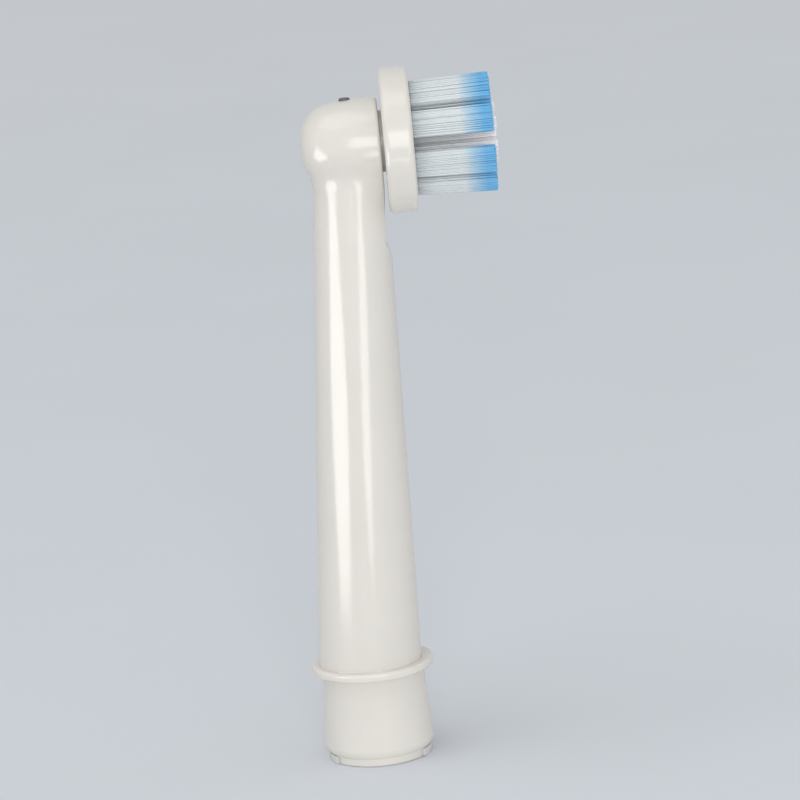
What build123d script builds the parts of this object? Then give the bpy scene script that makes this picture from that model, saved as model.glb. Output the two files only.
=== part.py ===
from build123d import *
import os
from math import cos, degrees, radians, sin, tan

# Head of an oscillating electric toothbrush, in millimetres.
# Origin: centre of the flat rim that it stands on.
# +Z runs along the drive axis to the tip, and the bristles face +X.

os.makedirs("parts", exist_ok=True)

# Foot: rim, skirt and drip collar
rim_r = 5.03
rim_h = 0.8
rim_edge = 0.25
skirt_step = 0.47
skirt_draft = 0.45
skirt_h = 8.1
skirt_bevel = 0.45
skirt_round = 1.05
collar_r = 6.05
collar_thick = 0.85
collar_edge = 0.3

# Neck: a cone that leans from the drive axis towards the bristle side
neck_root_rise = 3.4
neck_r = 5.04
neck_taper = 1.84
neck_lean = 2.91
neck_wall = 1.15
nape_fillet = 4.5
chin_rise = 40.2
chin_depth = 0.54
chin_slope = 1.6
pivot_rise = 11.36

# Head boss, turned about the plate's axis
head_r = 4.4
head_depth = 7.76
head_edge = 0.35
face_lead = 0.38
crown_setback = 1.89
crown_arc_r = 14.5
dome_arc_r = 15.0
dome_edge = 3.3

# Round plate and its hub
plate_gap = 0.3
plate_r = 7.1
plate_thick = 2.86
plate_edge = 0.55
hub_r = 3.0
hub_length = 5.2
hub_clearance = 0.05
hub_end_gap = 0.15

# Retaining pin in the top of the head
pin_r = 0.55
pin_setback = 3.1
pin_reach = 0.95
pin_proud = 0.12
pin_edge = 0.1
pin_clearance = 0.06

# Drive rod with a cranked end and a ball
rod_r = 0.5
rod_grip = 4.5
rod_bend_r = 0.9
crank_reach = 2.0
crank_rise = 2.4
crank_shank = 1.8
ball_r = 0.75
ball_drop = 2.27
slot_clearance = 0.06
channel_x = 1.15
channel_r = 1.9
channel_roof = 2.3
drive_swing = 28.0
plate_swing = 22.5

# Sleeve pressed into the foot
insert_r = 4.2
insert_h = 13.0
socket_r = 3.6
socket_depth = 8.0
tab_width = 5.2
tab_proud = 0.1
tab_gap = 0.4
tab_top_gap = 0.05

# Coupler that takes the handle's flatted shaft
journal_r = 2.7
journal_clearance = 0.05
coupler_end_gap = 0.4
shoulder_r = 3.2
shoulder_h = 2.0
shoulder_gap = 0.2
coupler_h = 17.0
coupler_tip_r = 1.3
shaft_r = 1.8
shaft_clearance = 0.03
shaft_flat = 1.1
shaft_depth = 11.0

# Bristle tufts and their anchors
block_margin = 1.48
block_width = 1.97
block_corner = 0.3
side_gap = 1.05
slant_gap = 0.53
slant_angle = 41.5
tuft_r = 0.72
ring_gap = 0.68
tuft_ring_count = 6
tuft_root = 1.7
bristle_length = 7.8
inner_extra = 0.35
tip_flare = 2.0
anchor_thick = 0.25
anchor_depth = 1.0
anchor_bite = 0.2

# Heights and depths that follow from the sizes above
skirt_r = rim_r + skirt_step
skirt_low = rim_h + skirt_bevel
collar_z = rim_h + skirt_h
collar_top = collar_z + collar_thick
neck_foot_z = collar_z + collar_thick / 2
neck_root_z = collar_top + neck_root_rise
chin_z = collar_top + chin_rise
pivot_z = chin_z + pivot_rise
lean = radians(neck_lean)
taper = radians(neck_taper)
chin_x = neck_r * cos(lean) + (chin_z - neck_root_z + neck_r * sin(lean)) * tan(lean - taper)
chin_face = chin_x - chin_depth
head_face = chin_face + face_lead
head_back = head_face - head_depth
front_stock = head_face + head_r
hub_axis = Axis((0, 0, pivot_z), (1, 0, 0))
plate_back = head_face + plate_gap
plate_front = plate_back + plate_thick
hub_back = plate_back - hub_length
pin_x = head_face - pin_setback
pin_top = pivot_z + head_r + pin_proud
pin_tip = pivot_z + hub_r - pin_reach
ball_z = pivot_z - ball_drop
coupler_z = socket_depth + coupler_end_gap
coupler_top = coupler_z + coupler_h
shoulder_z = insert_h + shoulder_gap
cavity_top = chin_z - neck_wall
root_x = plate_front - tuft_root
tip_x = plate_front + bristle_length
block_out_r = plate_r - block_margin
block_in_r = block_out_r - block_width
tuft_ring_r = block_in_r - ring_gap - tuft_r
flare = 1 + bristle_length * tan(radians(tip_flare)) / block_out_r

# Angular spans of the bristle blocks, in the plate's plane from +Y towards +Z
block_mid_r = (block_in_r + block_out_r) / 2
side_half = degrees(side_gap / 2 / block_mid_r)
slant_half = degrees(slant_gap / 2 / block_mid_r)

# Section of the neck where its axis leaves the drive axis
neck_root = Plane((0, 0, neck_root_z), x_dir=(cos(lean), 0, -sin(lean)), z_dir=(sin(lean), 0, cos(lean)))


def neck_way(z):
    """Way along the neck's axis from its root to a height."""
    return (z - neck_root_z) / cos(lean)


def neck_radius(z, wall):
    """Radius of the neck where its axis passes a height, less a wall."""
    return neck_r - wall - neck_way(z) * tan(taper)


def block_spans():
    """Start and end angles of the blocks, mirrored into the four quarters of the plate."""
    side = (side_half, slant_angle - slant_half)
    end = (slant_angle + slant_half, 90 - side_half)
    quarter = [side, end]
    half = quarter + [(180 - stop, 180 - start) for start, stop in reversed(quarter)]
    return half + [(180 + start, 180 + stop) for start, stop in half]


def block_outline(x, span, scale):
    """Arc-shaped outline of one bristle block, in the plane across X."""
    start, stop = span
    with BuildSketch(Plane.YZ.offset(x)) as outline:
        with BuildLine():
            outer = CenterArc((0, pivot_z), block_out_r * scale, start, stop - start)
            inner = CenterArc((0, pivot_z), block_in_r * scale, start, stop - start)
            Line(outer @ 0, inner @ 0)
            Line(outer @ 1, inner @ 1)
        make_face()
        fillet(outline.vertices(), block_corner)
    return outline.sketch


def tuft_places():
    """Places of the round tufts in the plate's plane: the ring, then the centre."""
    centre = Location(hub_axis.position)
    turns = [360 * (n + 0.5) / tuft_ring_count for n in range(tuft_ring_count)]
    return [centre * Rot(X=turn) * Pos(Y=tuft_ring_r) for turn in turns] + [centre]


# Neck housing
with BuildPart() as neck_housing:
    with BuildSketch(Plane.XZ) as foot:
        with BuildLine():
            Polyline(
                (0, 0),
                (rim_r, 0),
                (rim_r, rim_h),
                (skirt_r, skirt_low),
                (skirt_r - skirt_draft, collar_z),
                (collar_r, collar_z),
                (collar_r, collar_top),
                (0, collar_top),
                close=True,
            )
        make_face()
        fillet(foot.vertices().group_by(Axis.X)[-1], collar_edge)
        fillet(foot.vertices().group_by(Axis.Y)[0].sort_by(Axis.X)[-1], rim_edge)
        fillet(foot.vertices().filter_by_position(Axis.Y, skirt_low, skirt_low), skirt_round)
    revolve(axis=Axis.Z)

    with Locations(neck_root.offset(neck_way(neck_foot_z))):
        Cone(
            neck_radius(neck_foot_z, 0),
            neck_radius(pivot_z, 0),
            neck_way(pivot_z) - neck_way(neck_foot_z),
            align=(Align.CENTER, Align.CENTER, Align.MIN),
        )

    with BuildSketch(Plane.XY.offset(pivot_z)) as boss:
        with Locations((head_face - crown_setback, head_r - crown_arc_r)):
            Circle(crown_arc_r)
        with Locations((head_back + dome_arc_r, 0)):
            Circle(dome_arc_r, mode=Mode.INTERSECT)
        with Locations((head_back, 0)):
            Rectangle(front_stock - head_back, head_r, align=(Align.MIN, Align.MIN), mode=Mode.INTERSECT)
        fillet(boss.vertices().group_by(Axis.X)[1], dome_edge)
    revolve(axis=hub_axis)
    fillet(neck_housing.edges(Select.NEW), nape_fillet)

    with BuildSketch(Plane.XZ):
        with BuildLine():
            Polyline(
                (chin_x, chin_z),
                (chin_face, chin_z + chin_slope),
                (head_face, pivot_z - head_r),
                (head_face, pivot_z + head_r),
                (front_stock, pivot_z + head_r),
                (front_stock, chin_z),
                close=True,
            )
        make_face()
    extrude(amount=head_r, both=True, mode=Mode.SUBTRACT)
    fillet(neck_housing.edges(Select.NEW).filter_by(GeomType.LINE, reverse=True), head_edge)

    with BuildSketch(Plane.XY):
        Circle(insert_r)
    extrude(amount=insert_h, mode=Mode.SUBTRACT)

    cavity_foot_z = insert_h - neck_wall
    with Locations(neck_root.offset(neck_way(cavity_foot_z))):
        Cone(
            neck_radius(cavity_foot_z, neck_wall),
            neck_radius(cavity_top, neck_wall),
            neck_way(cavity_top) - neck_way(cavity_foot_z),
            align=(Align.CENTER, Align.CENTER, Align.MIN),
            mode=Mode.SUBTRACT,
        )

    with BuildSketch(Plane.XY.offset(cavity_top)):
        with Locations((channel_x, 0)):
            Circle(channel_r)
    extrude(amount=pivot_z - channel_roof - cavity_top, mode=Mode.SUBTRACT)

    with BuildSketch(Plane.YZ.offset(hub_back - hub_end_gap)):
        with Locations((0, pivot_z)):
            Circle(hub_r + hub_clearance)
    extrude(amount=head_face - hub_back + hub_end_gap, mode=Mode.SUBTRACT)

    with BuildSketch(Plane((pin_x, 0, pivot_z), x_dir=(0, 1, 0))):
        Circle(pin_r)
    extrude(amount=head_r + pin_proud, mode=Mode.SUBTRACT)

    Box(2 * skirt_r, tab_width + 2 * tab_gap, 2 * rim_h, mode=Mode.SUBTRACT)

neck_housing.part.label = "neck_housing"
export_step(neck_housing.part, "parts/neck_housing.step")

# Sleeve pressed into the foot, with tabs that reach out through slots in the rim
with BuildPart() as base_insert:
    with BuildSketch(Plane.XZ):
        with BuildLine():
            Polyline(
                (socket_r, 0),
                (insert_r, 0),
                (insert_r, insert_h),
                (journal_r + journal_clearance, insert_h),
                (journal_r + journal_clearance, socket_depth),
                (socket_r, socket_depth),
                close=True,
            )
        make_face()
    revolve(axis=Axis.Z)
    with BuildSketch(Plane.XY):
        Circle(rim_r + tab_proud)
        Rectangle(2 * skirt_r, tab_width, mode=Mode.INTERSECT)
        Circle((socket_r + insert_r) / 2, mode=Mode.SUBTRACT)
    extrude(amount=rim_h - tab_top_gap)

base_insert.part.label = "base_insert"
export_step(base_insert.part, "parts/base_insert.step")

# Coupler: journal in the sleeve, shoulder above it, and a tapered top that grips the rod
with BuildPart() as drive_coupler:
    with BuildSketch(Plane.XZ):
        with BuildLine():
            Polyline(
                (0, coupler_z),
                (journal_r, coupler_z),
                (journal_r, shoulder_z),
                (shoulder_r, shoulder_z),
                (shoulder_r, shoulder_z + shoulder_h),
                (coupler_tip_r, coupler_top),
                (0, coupler_top),
                close=True,
            )
        make_face()
    revolve(axis=Axis.Z)
    with BuildSketch(Plane.XY.offset(coupler_z)) as shaft_section:
        Circle(shaft_r + shaft_clearance)
        with Locations((shaft_flat + shaft_r, 0)):
            Rectangle(2 * shaft_r, 2 * shaft_r + shaft_clearance, mode=Mode.SUBTRACT)
    extrude(amount=shaft_depth, mode=Mode.SUBTRACT)
    with BuildSketch(Plane.XY.offset(coupler_top - rod_grip)):
        Circle(rod_r)
    extrude(amount=rod_grip, mode=Mode.SUBTRACT)

drive_coupler.part.label = "drive_coupler"
export_step(drive_coupler.part, "parts/drive_coupler.step")

# Steel rod, bent forward at the top to a ball that drives the hub
with BuildPart() as drive_rod:
    rod_foot = coupler_top - rod_grip
    shank_z = ball_z - crank_shank
    with BuildLine():
        FilletPolyline(
            (0, 0, rod_foot),
            (0, 0, shank_z - crank_rise),
            (crank_reach, 0, shank_z),
            (crank_reach, 0, ball_z),
            radius=rod_bend_r,
        )
    with BuildSketch(Plane.XY.offset(rod_foot)):
        Circle(rod_r)
    sweep()
    with Locations((crank_reach, 0, ball_z)):
        Sphere(ball_r)

drive_rod.part.label = "drive_rod"
export_step(drive_rod.part, "parts/drive_rod.step")

# Retaining pin
with BuildPart() as retaining_pin:
    with BuildSketch(Plane.XY.offset(pin_tip)):
        with Locations((pin_x, 0)):
            Circle(pin_r)
    extrude(amount=pin_top - pin_tip)
    chamfer(retaining_pin.edges().filter_by(GeomType.CIRCLE), pin_edge)

retaining_pin.part.label = "retaining_pin"
export_step(retaining_pin.part, "parts/retaining_pin.step")

# Flat metal anchors, one across the root of each tuft
block_anchor_length = block_out_r - block_in_r + 2 * anchor_bite
tuft_anchor_length = 2 * (tuft_r + anchor_bite)
with BuildPart() as tuft_anchors:
    middles = [(start + stop) / 2 for start, stop in block_spans()]
    with Locations(*[Pos(root_x, 0, pivot_z) * Rot(X=middle) * Pos(Y=block_mid_r) for middle in middles]):
        Box(anchor_depth, block_anchor_length, anchor_thick, align=(Align.MIN, Align.CENTER, Align.CENTER))
    with Locations(*[Pos(X=root_x) * place for place in tuft_places()]):
        Box(anchor_depth, tuft_anchor_length, anchor_thick, align=(Align.MIN, Align.CENTER, Align.CENTER))

tuft_anchors.part.label = "tuft_anchors"
export_step(tuft_anchors.part, "parts/tuft_anchors.step")

# Round plate with its hub, the slot for the ball, the arc pocket for the pin, and the tuft holes
with BuildPart() as brush_plate:
    with BuildSketch(Plane.XZ) as plate_half:
        with BuildLine():
            Polyline(
                (hub_back, pivot_z),
                (hub_back, pivot_z + hub_r),
                (plate_back, pivot_z + hub_r),
                (plate_back, pivot_z + plate_r),
                (plate_front, pivot_z + plate_r),
                (plate_front, pivot_z),
                close=True,
            )
        make_face()
        fillet(plate_half.vertices().group_by(Axis.Y)[-1], plate_edge)
    revolve(axis=hub_axis)

    slot_back = crank_reach * cos(radians(drive_swing)) - ball_r - slot_clearance
    slot_front = crank_reach + ball_r + slot_clearance
    slot_roof = ball_z + ball_r + slot_clearance
    with BuildSketch(Plane.XY.offset(pivot_z - hub_r)):
        with Locations(((slot_back + slot_front) / 2, 0)):
            Rectangle(slot_front - slot_back, 2 * (ball_r + slot_clearance))
    extrude(amount=slot_roof - pivot_z + hub_r, mode=Mode.SUBTRACT)

    pocket_half = plate_swing + degrees((pin_r + pin_clearance) / (hub_r - pin_reach))
    with BuildSketch(Plane(Location((0, 0, pivot_z), (90 - pocket_half, 0, 0)))):
        with Locations((pin_x, hub_r)):
            Rectangle(2 * (pin_r + pin_clearance), 2 * (pin_reach + pin_clearance))
    revolve(axis=hub_axis, revolution_arc=2 * pocket_half, mode=Mode.SUBTRACT)

    for span in block_spans():
        extrude(block_outline(root_x, span, 1), amount=tuft_root, mode=Mode.SUBTRACT)
    with BuildSketch(Plane.YZ.offset(root_x)):
        with Locations(*[(place.position.Y, place.position.Z) for place in tuft_places()]):
            Circle(tuft_r)
    extrude(amount=tuft_root, mode=Mode.SUBTRACT)
    add(tuft_anchors.part, mode=Mode.SUBTRACT)

brush_plate.part.label = "brush_plate"
export_step(brush_plate.part, "parts/brush_plate.step")

# Outer ring of arc-shaped bristle blocks, flaring a little towards their tips
for number, span in enumerate(block_spans(), start=1):
    with BuildPart() as outer_tuft:
        extrude(block_outline(root_x, span, 1), amount=tuft_root)
        loft([block_outline(plate_front, span, 1), block_outline(tip_x, span, flare)])
        add(tuft_anchors.part, mode=Mode.SUBTRACT)
    outer_tuft.part.label = f"outer_tuft_{number}"
    export_step(outer_tuft.part, f"parts/outer_tuft_{number}.step")

# Round tufts: a ring of them and one in the centre
inner_names = [f"inner_tuft_{number + 1}" for number in range(tuft_ring_count)] + ["centre_tuft"]
for name, place in zip(inner_names, tuft_places()):
    with BuildPart() as inner_tuft:
        with BuildSketch(Plane.YZ.offset(root_x)):
            with Locations((place.position.Y, place.position.Z)):
                Circle(tuft_r)
        extrude(amount=tuft_root + bristle_length + inner_extra)
        add(tuft_anchors.part, mode=Mode.SUBTRACT)
    inner_tuft.part.label = name
    export_step(inner_tuft.part, f"parts/{name}.step")
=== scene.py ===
import functools
import logging
import math
import random
from dataclasses import dataclass, field
from enum import Enum
from typing import ClassVar, Iterator, Sequence

import bmesh
import bpy
from mathutils import Matrix, Quaternion, Vector


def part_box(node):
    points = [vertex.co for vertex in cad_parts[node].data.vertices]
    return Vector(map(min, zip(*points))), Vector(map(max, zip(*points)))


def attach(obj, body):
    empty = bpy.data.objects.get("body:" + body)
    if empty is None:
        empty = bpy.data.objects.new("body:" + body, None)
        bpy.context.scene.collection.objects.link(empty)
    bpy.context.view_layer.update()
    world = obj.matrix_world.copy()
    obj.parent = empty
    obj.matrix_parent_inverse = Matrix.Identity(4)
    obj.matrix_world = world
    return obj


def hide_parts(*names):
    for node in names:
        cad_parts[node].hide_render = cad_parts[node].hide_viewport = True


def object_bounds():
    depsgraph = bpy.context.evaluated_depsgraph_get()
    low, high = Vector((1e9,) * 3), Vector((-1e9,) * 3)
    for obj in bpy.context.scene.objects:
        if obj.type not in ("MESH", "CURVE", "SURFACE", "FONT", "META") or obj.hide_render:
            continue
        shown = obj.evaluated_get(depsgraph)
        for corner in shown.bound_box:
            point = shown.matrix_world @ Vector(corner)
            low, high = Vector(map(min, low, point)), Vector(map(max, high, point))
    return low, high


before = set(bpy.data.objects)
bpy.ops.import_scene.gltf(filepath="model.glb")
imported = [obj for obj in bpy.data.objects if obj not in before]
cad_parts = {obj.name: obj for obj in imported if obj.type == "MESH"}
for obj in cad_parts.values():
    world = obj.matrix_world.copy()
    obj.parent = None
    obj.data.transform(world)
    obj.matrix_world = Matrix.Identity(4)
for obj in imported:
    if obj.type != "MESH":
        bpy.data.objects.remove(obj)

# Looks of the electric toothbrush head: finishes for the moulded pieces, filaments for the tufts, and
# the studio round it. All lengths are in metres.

LOG = logging.getLogger("brush_head")
CAD_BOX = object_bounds()
MM = 0.001
FULL_TURN = 2 * math.pi
BRUSH_BODY = "brush"
TONE = "tone"  # attribute that holds each filament's own shade

Colour = tuple[float, float, float]
Pair = tuple[float, float]
Socket = bpy.types.NodeSocket


class Slot(Enum):
    """Material slots of the record that belong to the tufts; each bundle keeps its slot, but nothing
    reads it.
    """

    BLUE_BRISTLE = "blue_tipped_bristle"
    WHITE_BRISTLE = "white_bristle"


class Blend(Enum):
    """Ways to blend two colours."""

    MIX = "MIX"
    MULTIPLY = "MULTIPLY"


class LampUse(Enum):
    """What a lamp is there for."""

    ALL = "light and gloss"
    LIGHT = "light only"
    GLOSS = "gloss only"


class ShaderGraph:
    """A material whose shader tree is put together a node at a time."""

    def __init__(self, name: str) -> None:
        """Starts a material with a Principled shader.

        Args:
            name: the material's name.
        """
        self.material = bpy.data.materials.new(name)
        self.material.use_nodes = True
        self.tree = self.material.node_tree
        self.shader = self.tree.nodes["Principled BSDF"]
        coordinates = self.tree.nodes.new("ShaderNodeTexCoord")
        self.place = coordinates.outputs["Object"]

    def set(self, socket: str, value: object) -> None:
        """Sets one of the shader's own sockets to a constant."""
        self.shader.inputs[socket].default_value = value

    def feed(self, source: Socket, socket: str) -> None:
        """Links an output to one of the shader's sockets."""
        self.tree.links.new(source, self.shader.inputs[socket])

    def noise(self, scale: float, detail: float, stretch: Sequence[float] = (1, 1, 1)) -> Socket:
        """Adds noise in the object's own space.

        Args:
            scale: how many features there are in a metre.
            detail: octaves of finer noise.
            stretch: scale of each axis before the noise is read.

        Returns:
            The noise's value.
        """
        mapping = self.tree.nodes.new("ShaderNodeMapping")
        mapping.inputs["Scale"].default_value = tuple(stretch)
        self.tree.links.new(self.place, mapping.inputs["Vector"])
        texture = self.tree.nodes.new("ShaderNodeTexNoise")
        texture.inputs["Scale"].default_value = scale
        texture.inputs["Detail"].default_value = detail
        self.tree.links.new(mapping.outputs["Vector"], texture.inputs["Vector"])
        return texture.outputs["Fac"]

    def ramp(self, source: Socket, stops: Sequence[tuple[float, Colour]]) -> Socket:
        """Turns a value into a colour.

        Args:
            source: the value, from 0 to 1.
            stops: positions and colours, in order.

        Returns:
            The colour.
        """
        node = self.tree.nodes.new("ShaderNodeValToRGB")
        elements = node.color_ramp.elements
        while len(elements) < len(stops):
            elements.new(0.5)
        for element, (position, colour) in zip(elements, stops):
            element.position = position
            element.color = (*colour, 1.0)
        self.tree.links.new(source, node.inputs["Fac"])
        return node.outputs["Color"]

    def spread(self, source: Socket, low: Pair, high: Pair) -> Socket:
        """Maps a value from one range to another.

        Args:
            source: the value.
            low: the value's lower end, and what it becomes.
            high: the value's upper end, and what it becomes.

        Returns:
            The mapped value.
        """
        node = self.tree.nodes.new("ShaderNodeMapRange")
        node.inputs["From Min"].default_value, node.inputs["To Min"].default_value = low
        node.inputs["From Max"].default_value, node.inputs["To Max"].default_value = high
        self.tree.links.new(source, node.inputs["Value"])
        return node.outputs["Result"]

    def axis(self, name: str) -> Socket:
        """Reads one coordinate of the object's own space.

        Args:
            name: the axis, X, Y or Z.

        Returns:
            The coordinate.
        """
        node = self.tree.nodes.new("ShaderNodeSeparateXYZ")
        self.tree.links.new(self.place, node.inputs["Vector"])
        return node.outputs[name]

    def distance(self) -> Socket:
        """Measures how far a place is from the object's origin.

        Returns:
            The distance.
        """
        node = self.tree.nodes.new("ShaderNodeVectorMath")
        node.operation = "LENGTH"
        self.tree.links.new(self.place, node.inputs[0])
        return node.outputs["Value"]

    def attribute(self, name: str) -> Socket:
        """Reads one of the mesh's own attributes.

        Args:
            name: the attribute's name.

        Returns:
            The attribute's value.
        """
        node = self.tree.nodes.new("ShaderNodeAttribute")
        node.attribute_name = name
        return node.outputs["Fac"]

    def seen_rays(self) -> Socket:
        """Tells the rays that show a surface, by itself or in gloss or glass, from those of its light.

        Returns:
            A value of 1 for rays that show the surface, and 0 for its light.
        """
        path = self.tree.nodes.new("ShaderNodeLightPath")
        total = path.outputs["Is Camera Ray"]
        for name in ("Is Glossy Ray", "Is Transmission Ray"):
            both = self.tree.nodes.new("ShaderNodeMath")
            both.operation = "MAXIMUM"
            self.tree.links.new(total, both.inputs[0])
            self.tree.links.new(path.outputs[name], both.inputs[1])
            total = both.outputs["Value"]
        return total

    def mix(
        self, factor: Socket, first: Socket | Colour, second: Socket | Colour, blend: Blend
    ) -> Socket:
        """Blends two colours.

        Args:
            factor: how much of the second colour there is.
            first: a colour or a colour output.
            second: a colour or a colour output.
            blend: the way of blending.

        Returns:
            The blended colour.
        """
        node = self.tree.nodes.new("ShaderNodeMix")
        node.data_type = "RGBA"
        node.blend_type = blend.value
        self.tree.links.new(factor, node.inputs["Factor"])
        colours = [socket for socket in node.inputs if socket.type == "RGBA"]
        for socket, value in zip(colours, (first, second)):
            if isinstance(value, Socket):
                self.tree.links.new(value, socket)
            else:
                socket.default_value = (*value, 1.0)
        return next(socket for socket in node.outputs if socket.type == "RGBA")

    def glow_through(self, colour: Socket, share: float) -> None:
        """Lets some of the light from behind come through, as thin clear plastic does.

        Args:
            colour: the colour of the light that comes through.
            share: how much of the surface lets light through.
        """
        nodes = self.tree.nodes
        through = nodes.new("ShaderNodeBsdfTranslucent")
        self.tree.links.new(colour, through.inputs["Color"])
        blend = nodes.new("ShaderNodeMixShader")
        blend.inputs["Fac"].default_value = share
        self.tree.links.new(self.shader.outputs["BSDF"], blend.inputs[1])
        self.tree.links.new(through.outputs["BSDF"], blend.inputs[2])
        self.tree.links.new(blend.outputs["Shader"], nodes["Material Output"].inputs["Surface"])

    def bump(self, height: Socket, distance: float) -> None:
        """Raises the surface by a height.

        Args:
            height: the height, from 0 to 1.
            distance: the height's size.
        """
        node = self.tree.nodes.new("ShaderNodeBump")
        node.inputs["Distance"].default_value = distance
        node.inputs["Strength"].default_value = 1.0
        self.tree.links.new(height, node.inputs["Height"])
        self.feed(node.outputs["Normal"], "Normal")


@dataclass(frozen=True)
class MouldedPlastic:
    """Injection-moulded plastic with a faint cloudiness and an orange-peel gloss."""

    name: str
    pale: Colour
    deep: Colour
    gloss: Pair
    milkiness: float
    milk_depth: float = 1.2 * MM
    milk_reach: Colour = (1.0, 0.95, 0.9)
    ior: float = 1.5
    noise_span: Pair = (0.3, 0.7)
    cloud_size: float = 9.0 * MM
    cloud_detail: float = 3.0
    sheen_size: float = 3.3 * MM
    sheen_detail: float = 2.0
    peel_size: float = 1.1 * MM
    peel_detail: float = 1.0
    peel_height: float = 0.006 * MM

    def make(self) -> bpy.types.Material:
        """Makes the material.

        Returns:
            The material.
        """
        graph = ShaderGraph(self.name)
        low, high = self.noise_span
        cloud = graph.noise(1 / self.cloud_size, self.cloud_detail)
        graph.feed(graph.ramp(cloud, [(low, self.deep), (high, self.pale)]), "Base Color")
        sheen = graph.noise(1 / self.sheen_size, self.sheen_detail)
        graph.feed(graph.spread(sheen, (low, self.gloss[0]), (high, self.gloss[1])), "Roughness")
        graph.bump(graph.noise(1 / self.peel_size, self.peel_detail), self.peel_height)
        graph.set("Subsurface Weight", self.milkiness)
        graph.set("Subsurface Radius", self.milk_reach)
        graph.set("Subsurface Scale", self.milk_depth)
        graph.set("IOR", self.ior)
        return graph.material


@dataclass(frozen=True)
class DrawnMetal:
    """Wire or strip metal with fine lines along its length."""

    name: str
    bright: Colour
    dark: Colour
    gloss: Pair
    stretch: tuple[float, float, float]
    tone_span: Pair = (0.25, 0.75)
    gloss_span: Pair = (0.2, 0.8)
    line_size: float = 0.08 * MM
    line_depth: float = 0.004 * MM
    line_detail: float = 3.0

    def make(self) -> bpy.types.Material:
        """Makes the material.

        Returns:
            The material.
        """
        graph = ShaderGraph(self.name)
        lines = graph.noise(1 / self.line_size, self.line_detail, self.stretch)
        low, high = self.tone_span
        graph.feed(graph.ramp(lines, [(low, self.dark), (high, self.bright)]), "Base Color")
        low, high = self.gloss_span
        graph.feed(graph.spread(lines, (low, self.gloss[0]), (high, self.gloss[1])), "Roughness")
        graph.bump(lines, self.line_depth)
        graph.set("Metallic", 1.0)
        return graph.material


@dataclass(frozen=True)
class Nylon:
    """Clear-white nylon filament, dyed towards its tip, with painted shade towards its root."""

    name: str
    # root: a greyer colour at the root end, painted shade where the filaments crowd into the plate
    root: Colour
    body: Colour
    tip: Colour
    fade: Pair
    reach: Pair
    clearness: float
    root_shade_end: float = 0.25
    dull: Colour = (0.45, 0.55, 0.62)
    tone_depth: float = 0.05
    roughness: float = 0.34
    ior: float = 1.53

    def make(self) -> bpy.types.Material:
        """Makes the material.

        Returns:
            The material.
        """
        graph = ShaderGraph(self.name)
        near, far = self.reach
        start, end = self.fade
        along = graph.spread(graph.axis("X"), (near, 0.0), (far, 1.0))
        # the root colour is painted shade at the plate; the body is the nylon's own colour and the tip
        # its dye
        stops = [(0.0, self.root), (self.root_shade_end, self.body), (start, self.body), (end, self.tip)]
        colour = graph.ramp(along, stops)
        shade = graph.spread(graph.attribute(TONE), (0.0, 0.0), (1.0, self.tone_depth))
        toned = graph.mix(shade, colour, self.dull, Blend.MULTIPLY)
        graph.feed(toned, "Base Color")
        graph.set("Roughness", self.roughness)
        graph.set("IOR", self.ior)
        graph.glow_through(toned, self.clearness)
        return graph.material


@dataclass(frozen=True)
class StudioPaper:
    """Matte paper, paler far away, which gives back more light than is seen of it."""

    name: str
    colour: Colour
    shade: Colour
    far: Colour
    bounce: Colour
    reach: Pair = (0.3, 3.0)
    mottle_scale: float = 18.0
    mottle_detail: float = 4.0
    mottle_span: Pair = (0.3, 0.7)
    roughness: float = 0.9

    def make(self) -> bpy.types.Material:
        """Makes the material.

        Returns:
            The material.
        """
        graph = ShaderGraph(self.name)
        mottle = graph.noise(self.mottle_scale, self.mottle_detail)
        low, high = self.mottle_span
        near = graph.ramp(mottle, [(low, self.shade), (high, self.colour)])
        start, end = self.reach
        paling = graph.spread(graph.distance(), (start, 0.0), (end, 1.0))
        tint = graph.mix(paling, near, self.far, Blend.MIX)
        graph.feed(graph.mix(graph.seen_rays(), self.bounce, tint, Blend.MIX), "Base Color")
        graph.set("Roughness", self.roughness)
        graph.set("Specular IOR Level", 0.0)
        return graph.material


WHITE_PLASTIC = MouldedPlastic(
    "glossy white plastic",
    pale=(0.735, 0.708, 0.66),
    deep=(0.71, 0.684, 0.637),
    gloss=(0.13, 0.19),
    milkiness=0.3,
)
MILKY_PLASTIC = MouldedPlastic(
    "milky plastic",
    pale=(0.70, 0.70, 0.68),
    deep=(0.62, 0.62, 0.60),
    gloss=(0.22, 0.34),
    milkiness=0.5,
)
SATIN_PLASTIC = MouldedPlastic(
    "satin coupler plastic",
    pale=(0.62, 0.62, 0.61),
    deep=(0.55, 0.55, 0.54),
    gloss=(0.42, 0.55),
    milkiness=0.1,
)
WIRE_STEEL = DrawnMetal(
    "drawn wire steel",
    bright=(0.60, 0.60, 0.61),
    dark=(0.42, 0.42, 0.43),
    gloss=(0.24, 0.42),
    stretch=(1, 1, 0.02),
)
# The pin's fine lines are the steel's own grain. Its dark tone, far darker than bare steel, is painted
# shade for the pin's end in its hole.
PIN_STEEL_WITH_PAINTED_SHADE = DrawnMetal(
    "cut pin steel with painted shade",
    bright=(0.21, 0.21, 0.22),
    dark=(0.10, 0.10, 0.11),
    gloss=(0.35, 0.55),
    stretch=(1, 1, 0.05),
)
NICKEL_SILVER = DrawnMetal(
    "nickel silver strip",
    bright=(0.72, 0.66, 0.50),
    dark=(0.55, 0.50, 0.38),
    gloss=(0.3, 0.5),
    stretch=(0.05, 1, 1),
)
BLUE_NYLON = Nylon(
    "blue tipped nylon",
    # root: painted shade where the filaments stand in the plate
    root=(0.90, 0.95, 0.965),
    body=(0.95, 0.982, 0.99),
    tip=(0.26, 0.70, 0.98),
    fade=(0.60, 0.88),
    reach=(8.7 * MM, 16.5 * MM),
    clearness=0.4,
)
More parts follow.
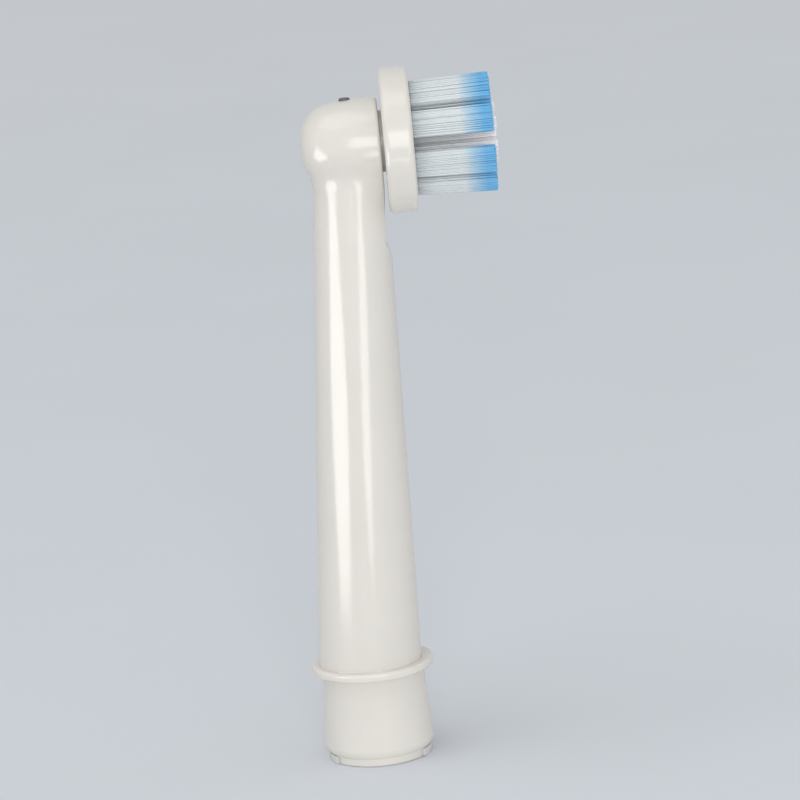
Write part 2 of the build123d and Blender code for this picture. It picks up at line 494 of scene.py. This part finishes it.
WHITE_NYLON = Nylon(
    "white nylon",
    # root: painted shade where the filaments stand in the plate
    root=(0.92, 0.95, 0.975),
    body=(0.965, 0.98, 0.99),
    tip=(0.98, 0.96, 0.97),
    fade=(0.5, 0.8),
    reach=(8.7 * MM, 16.8 * MM),
    clearness=0.05,
)
PALE_PAPER = StudioPaper(
    "studio paper",
    colour=(0.71, 0.742, 0.784),
    shade=(0.695, 0.727, 0.768),
    far=(0.97, 0.975, 0.98),
    bounce=(0.82, 0.825, 0.84),
)


@functools.cache
def finish_of(finish: MouldedPlastic | DrawnMetal | Nylon) -> bpy.types.Material:
    """The material of a finish, made once and shared."""
    return finish.make()


def new_piece(name: str, bm: bmesh.types.BMesh, material: bpy.types.Material) -> bpy.types.Object:
    """Puts a finished mesh into the scene, smooth and at the origin.

    Args:
        name: the piece's name.
        bm: its mesh, which is freed.
        material: its material.

    Returns:
        The new object.
    """
    mesh = bpy.data.meshes.new(name)
    for face in bm.faces:
        face.smooth = True
    bm.to_mesh(mesh)
    bm.free()
    mesh.materials.append(material)
    piece = bpy.data.objects.new(name, mesh)
    bpy.context.scene.collection.objects.link(piece)
    return piece


@dataclass
class SolidPiece:
    """A piece that keeps its solid and gets its finish."""

    node: str
    finish: MouldedPlastic | DrawnMetal

    def dress(self) -> None:
        """Puts the finish on the piece."""
        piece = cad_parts[self.node]
        piece.data.materials.clear()
        piece.data.materials.append(finish_of(self.finish))
        LOG.info("dressed %s with %s", self.node, self.finish.name)


@dataclass
class Housing:
    """The neck with the sleeve in its foot and the retaining pin in its head."""

    shell: SolidPiece = field(default_factory=lambda: SolidPiece("neck_housing", WHITE_PLASTIC))
    sleeve: SolidPiece = field(default_factory=lambda: SolidPiece("base_insert", MILKY_PLASTIC))
    # the pin's steel carries painted shade for its end in the hole
    pin: SolidPiece = field(default_factory=lambda: SolidPiece("retaining_pin", PIN_STEEL_WITH_PAINTED_SHADE))

    def dress(self) -> None:
        """Dresses each piece of the neck."""
        for piece in (self.shell, self.sleeve, self.pin):
            piece.dress()


@dataclass
class Drive:
    """The coupler and the cranked rod inside the neck."""

    coupler: SolidPiece = field(default_factory=lambda: SolidPiece("drive_coupler", SATIN_PLASTIC))
    rod: SolidPiece = field(default_factory=lambda: SolidPiece("drive_rod", WIRE_STEEL))

    def dress(self) -> None:
        """Dresses each piece of the drive."""
        for piece in (self.coupler, self.rod):
            piece.dress()


@dataclass
class Plate:
    """The round plate that turns, with the anchors of its tufts."""

    disc: SolidPiece = field(default_factory=lambda: SolidPiece("brush_plate", WHITE_PLASTIC))
    anchors: SolidPiece = field(default_factory=lambda: SolidPiece("tuft_anchors", NICKEL_SILVER))

    def dress(self) -> None:
        """Dresses the plate and its anchors."""
        for piece in (self.disc, self.anchors):
            piece.dress()


@dataclass
class Bundle:
    """A bundle of filaments that stands for one tuft."""

    # Each step along a filament: its share of the length, and how far the filament narrows there.
    STEPS: ClassVar[tuple[Pair, ...]] = (
        (0.35, 1.0),
        (0.35, 1.0),
        (0.285, 1.0),
        (0.011, 0.72),
        (0.004, 0.4),
    )

    name: str
    spots: list[Vector]
    finish: Nylon
    slot: Slot
    seed: int
    root_x: float
    tip_x: float
    flare: float
    axis_z: float
    filament_r: float = 0.084 * MM
    sides: int = 6
    length_spread: float = 0.16 * MM
    length_deviation: float = 0.5
    splay: float = 0.07 * MM
    bow: float = 0.06 * MM

    def filament(self, bm: bmesh.types.BMesh) -> list[bmesh.types.BMVert]:
        """Models one filament of unit length along X, with a rounded end.

        Args:
            bm: the mesh that it goes into.

        Returns:
            The filament's vertices.
        """
        across = Matrix.Rotation(math.pi / 2, 4, "Y")
        ring = bmesh.ops.create_circle(bm, cap_ends=True, segments=self.sides, radius=1.0, matrix=across)
        verts = list(ring["verts"])
        edges = list(bm.edges)
        for step, shrink in self.STEPS:
            grown = bmesh.ops.extrude_edge_only(bm, edges=edges)["geom"]
            new = [item for item in grown if isinstance(item, bmesh.types.BMVert)]
            edges = [item for item in grown if isinstance(item, bmesh.types.BMEdge)]
            bmesh.ops.translate(bm, vec=(step, 0, 0), verts=new)
            centre = Matrix.Translation(Vector((-new[0].co.x, 0, 0)))
            bmesh.ops.scale(bm, vec=(1, shrink, shrink), verts=new, space=centre)
            verts += new
        bmesh.ops.edgeloop_fill(bm, edges=edges)
        return verts

    def build(self) -> None:
        """Builds the bundle and puts it in place of the tuft's solid."""
        draw = random.Random(self.seed)
        bm = bmesh.new()
        tone = bm.verts.layers.float.new(TONE)
        pattern = self.filament(bm)
        pattern_faces = list(bm.faces)
        for spot in self.spots:
            copy = bmesh.ops.duplicate(bm, geom=pattern + pattern_faces)["geom"]
            verts = [item for item in copy if isinstance(item, bmesh.types.BMVert)]
            self.plant(verts, spot, draw, tone)
        bmesh.ops.delete(bm, geom=pattern, context="VERTS")
        bmesh.ops.recalc_face_normals(bm, faces=bm.faces)
        piece = new_piece(self.name + "_filaments", bm, finish_of(self.finish))
        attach(piece, BRUSH_BODY)
        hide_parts(self.name)
        LOG.info("built %s: %d filaments", piece.name, len(self.spots))

    def plant(
        self,
        verts: list[bmesh.types.BMVert],
        spot: Vector,
        draw: random.Random,
        tone: bmesh.types.BMLayerItem,
    ) -> None:
        """Sets one filament in its place.

        Args:
            verts: the filament's vertices, of unit length.
            spot: where it stands in the plate's plane.
            draw: the bundle's own random numbers.
            tone: the layer that holds the filament's shade.
        """
        short = abs(draw.gauss(0, self.length_deviation)) * self.length_spread
        length = self.tip_x - self.root_x - short
        away = Vector((0, spot.y, spot.z - self.axis_z)) * (self.flare - 1)
        turn = draw.uniform(0, FULL_TURN)
        lean = Vector((0, math.cos(turn), math.sin(turn))) * draw.uniform(0, self.splay)
        bend = draw.uniform(0, FULL_TURN)
        curve = Vector((0, math.cos(bend), math.sin(bend))) * draw.uniform(0, self.bow)
        shade = draw.random()
        for vert in verts:
            along = vert.co.x
            across = Vector((0, vert.co.y, vert.co.z)) * self.filament_r
            offset = (away + lean) * along + curve * along * (1 - along)
            vert.co = Vector((self.root_x + length * along, spot.y, spot.z)) + across + offset
            vert[tone] = shade


@dataclass
class TuftField:
    """All the tufts of the plate: arc-shaped blocks outside, round tufts inside."""

    blocks: int = 8
    ring: int = 6
    pitch: float = 0.17 * MM
    jitter: float = 0.03 * MM
    inset: float = 0.14 * MM
    corner_cut: float = 0.12 * MM
    root_slice: float = 0.1 * MM
    sink: float = 0.9 * MM
    flare: float = 1.045
    inner_flare: float = 1.02
    seed: int = 41
    inner_seed: int = 50
    lattice_seed: int = 1000
    front: float = field(init=False)
    axis_z: float = field(init=False)

    def __post_init__(self) -> None:
        """Reads where the plate's face and axis are."""
        low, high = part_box("brush_plate")
        self.front = high.x
        self.axis_z = (low.z + high.z) / 2

    def build(self) -> None:
        """Builds every tuft's bundle."""
        outer = [f"outer_tuft_{number + 1}" for number in range(self.blocks)]
        inner = [f"inner_tuft_{number + 1}" for number in range(self.ring)] + ["centre_tuft"]
        for order, name in enumerate(outer):
            spots = self.block_spots(name, order)
            self.bundle(name, spots, BLUE_NYLON, Slot.BLUE_BRISTLE, order, self.flare).build()
        for order, name in enumerate(inner):
            spots = self.round_spots(name, order)
            number = self.inner_seed + order
            self.bundle(name, spots, WHITE_NYLON, Slot.WHITE_BRISTLE, number, self.inner_flare).build()

    def bundle(
        self, name: str, spots: list[Vector], finish: Nylon, slot: Slot, number: int, flare: float
    ) -> Bundle:
        """Describes the bundle that stands for one tuft.

        Args:
            name: the tuft's node.
            spots: where its filaments stand.
            finish: the filaments' finish.
            slot: the record's slot.
            number: the tuft's number, for its random numbers.
            flare: how much wider the bundle is at its tips.

        Returns:
            The bundle, not built yet.
        """
        return Bundle(
            name,
            spots,
            finish,
            slot,
            seed=self.seed + number,
            root_x=self.front - self.sink,
            tip_x=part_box(name)[1].x,
            flare=flare,
            axis_z=self.axis_z,
        )

    def lattice(self, low: Vector, high: Vector, order: int) -> Iterator[Vector]:
        """Close-packed places with a little disorder, at least over the given box.

        Args:
            low: the lowest corner.
            high: the highest corner.
            order: the tuft's number, for its random numbers.

        Yields:
            Each place in the plate's plane.
        """
        draw = random.Random(self.lattice_seed + self.seed + order)
        turn = Matrix.Rotation(draw.uniform(0, math.pi / 3), 3, "X")
        centre = (low + high) / 2
        rise = self.pitch * math.sqrt(3) / 2
        reach = math.ceil((high - low).length / 2 / rise) + 1
        for row in range(-reach, reach + 1):
            for column in range(-reach, reach + 1):
                y = (column + 0.5 * (row % 2)) * self.pitch + draw.uniform(-1, 1) * self.jitter
                z = row * rise + draw.uniform(-1, 1) * self.jitter
                yield centre + turn @ Vector((0, y, z))

    def polar(self, place: Vector) -> Pair:
        """Distance and angle of a place about the plate's axis."""
        rise = place.z - self.axis_z
        return math.hypot(place.y, rise), math.atan2(rise, place.y)

    def block_spots(self, name: str, order: int) -> list[Vector]:
        """Places of the filaments of one arc-shaped block, read from its solid's root.

        Args:
            name: the block's node.
            order: the block's number.

        Returns:
            The places.
        """
        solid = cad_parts[name].data
        root = [vert.co for vert in solid.vertices if vert.co.x < self.front + self.root_slice]
        radii, angles = zip(*(self.polar(co) for co in root))
        inside = min(radii) + self.inset
        outside = max(radii) - self.inset
        middle = math.atan2(sum(math.sin(a) for a in angles), sum(math.cos(a) for a in angles))
        half = max(abs(math.remainder(a - middle, FULL_TURN)) for a in angles)
        low = Vector((0, min(co.y for co in root), min(co.z for co in root)))
        high = Vector((0, max(co.y for co in root), max(co.z for co in root)))
        spots = []
        for spot in self.lattice(low, high, order):
            radius, angle = self.polar(spot)
            turn = abs(math.remainder(angle - middle, FULL_TURN))
            side = (half - turn) * radius - self.inset
            edge = min(radius - inside, outside - radius)
            if side > 0 and edge > 0 and side + edge > self.corner_cut:
                spots.append(spot)
        return spots

    def round_spots(self, name: str, order: int) -> list[Vector]:
        """Places of the filaments of one round tuft.

        Args:
            name: the tuft's node.
            order: the tuft's number.

        Returns:
            The places.
        """
        low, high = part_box(name)
        low.x = high.x = 0
        centre = (low + high) / 2
        radius = (high.y - low.y) / 2 - self.inset
        return [spot for spot in self.lattice(low, high, order) if (spot - centre).length < radius]


@dataclass
class SoftLamp:
    """A rectangular studio lamp aimed at a point."""

    name: str
    place: Vector
    aim: Vector
    size: Pair
    power: float
    colour: Colour = (1.0, 1.0, 1.0)
    tilt: float = 0.0
    use: LampUse = LampUse.ALL

    def build(self) -> None:
        """Hangs the lamp in the studio, out of sight of the camera."""
        light = bpy.data.lights.new(self.name, "AREA")
        light.shape = "RECTANGLE"
        light.size, light.size_y = self.size
        light.energy = self.power
        light.color = self.colour
        lamp = bpy.data.objects.new(self.name, light)
        lamp.location = self.place
        lamp.rotation_mode = "QUATERNION"
        facing = (self.aim - self.place).to_track_quat("-Z", "Y")
        lamp.rotation_quaternion = facing @ Quaternion((0, 0, 1), math.radians(self.tilt))
        lamp.visible_camera = False
        lamp.visible_diffuse = self.use is not LampUse.GLOSS
        lamp.visible_glossy = self.use is not LampUse.LIGHT
        bpy.context.scene.collection.objects.link(lamp)
        LOG.info("hung lamp %s for %s", self.name, self.use.value)


@dataclass
class Studio:
    """Floor, lamps, world and camera."""

    floor_r: float = 6.0
    floor_sides: int = 96
    world_colour: Colour = (0.98, 0.99, 1.0)
    world_strength: float = 0.64
    strip_distance: float = 0.11
    strip_height: float = 0.048
    strip_length: float = 0.06
    warm: Colour = (1.0, 0.985, 0.955)
    look_at: Vector = field(default_factory=lambda: Vector((5.148, -0.09, 35.65)) * MM)
    distance: float = 400 * MM
    azimuth: float = -0.2
    elevation: float = 12.0
    roll: float = 5.33
    lens: float = 183.5
    sensor: float = 36.0
    clip_start: float = 10 * MM

    def build(self) -> None:
        """Builds the whole studio."""
        self.build_floor()
        self.build_world()
        self.build_lamps()
        self.build_camera()

    def build_floor(self) -> None:
        """Lays the round floor, level with the rim that the part stands on."""
        bm = bmesh.new()
        bmesh.ops.create_circle(bm, cap_ends=True, segments=self.floor_sides, radius=self.floor_r)
        bmesh.ops.translate(bm, vec=(0, 0, CAD_BOX[0].z), verts=bm.verts)
        floor = new_piece("floor", bm, PALE_PAPER.make())

    def build_world(self) -> None:
        """Fills the studio with soft light."""
        world = bpy.data.worlds.new("studio")
        world.use_nodes = True
        background = world.node_tree.nodes["Background"]
        background.inputs["Color"].default_value = (*self.world_colour, 1.0)
        background.inputs["Strength"].default_value = self.world_strength
        bpy.context.scene.world = world

    def build_lamps(self) -> None:
        """Hangs two low strips for the streaks of gloss, and soft boxes above and in front."""
        lamps = [
            self.strip("left strip", turn=-54, width=0.078, power=0.082, tilt=-38),
            self.strip("right strip", turn=19, width=0.028, power=0.022, tilt=-48),
            SoftLamp(
                "overhead",
                place=Vector((-0.35, -0.3, 1.35)),
                aim=self.look_at,
                size=(1.0, 1.0),
                power=3.7,
            ),
            SoftLamp(
                "front fill",
                place=Vector((0.03, -1.2, 0.25)),
                aim=self.look_at,
                size=(0.36, 0.36),
                power=5.6,
                use=LampUse.LIGHT,
            ),
            SoftLamp(
                "front gloss",
                place=Vector((0.15, -1.2, 0.2)),
                aim=self.look_at,
                size=(0.7, 0.7),
                power=5.7,
                use=LampUse.GLOSS,
            ),
        ]
        for lamp in lamps:
            lamp.build()

    def strip(self, name: str, turn: float, width: float, power: float, tilt: float) -> SoftLamp:
        """Describes a low strip lamp that stands near the object, faces it and shows in its gloss.

        Args:
            name: the lamp's name.
            turn: its place round the object, in degrees from the front to the right.
            width: how wide it is.
            power: its power in watts.
            tilt: its lean across the way that it faces, in degrees.

        Returns:
            The lamp, not built yet.
        """
        way = Vector((math.sin(math.radians(turn)), -math.cos(math.radians(turn)), 0))
        middle = Vector((0, 0, self.strip_height / 2))
        return SoftLamp(
            name,
            place=middle + way * self.strip_distance,
            aim=middle,
            size=(width, self.strip_length),
            power=power,
            colour=self.warm,
            tilt=tilt,
            use=LampUse.GLOSS,
        )

    def build_camera(self) -> None:
        """Stands the camera at the picture's viewing angle, with its lean."""
        turn = math.radians(self.azimuth)
        rise = math.radians(self.elevation)
        level = Vector((math.sin(turn), -math.cos(turn), 0))
        back = level * math.cos(rise) + Vector((0, 0, math.sin(rise)))
        data = bpy.data.cameras.new("camera")
        data.lens = self.lens
        data.sensor_width = self.sensor
        data.clip_start = self.clip_start
        camera = bpy.data.objects.new("camera", data)
        camera.location = self.look_at + back * self.distance
        upright = (-back).to_track_quat("-Z", "Y").to_matrix().to_4x4()
        lean = Matrix.Rotation(-math.radians(self.roll), 4, "Z")
        camera.rotation_mode = "QUATERNION"
        camera.rotation_quaternion = (upright @ lean).to_quaternion()
        bpy.context.scene.collection.objects.link(camera)
        bpy.context.scene.camera = camera


def main() -> None:
    """Dresses the solids, plants the tufts and sets up the studio."""
    logging.basicConfig(level=logging.INFO, format="%(name)s: %(message)s")
    bpy.context.scene.view_settings.view_transform = "Standard"
    Housing().dress()
    Drive().dress()
    Plate().dress()
    TuftField().build()
    Studio().build()


if __name__ == "__main__":
    main()
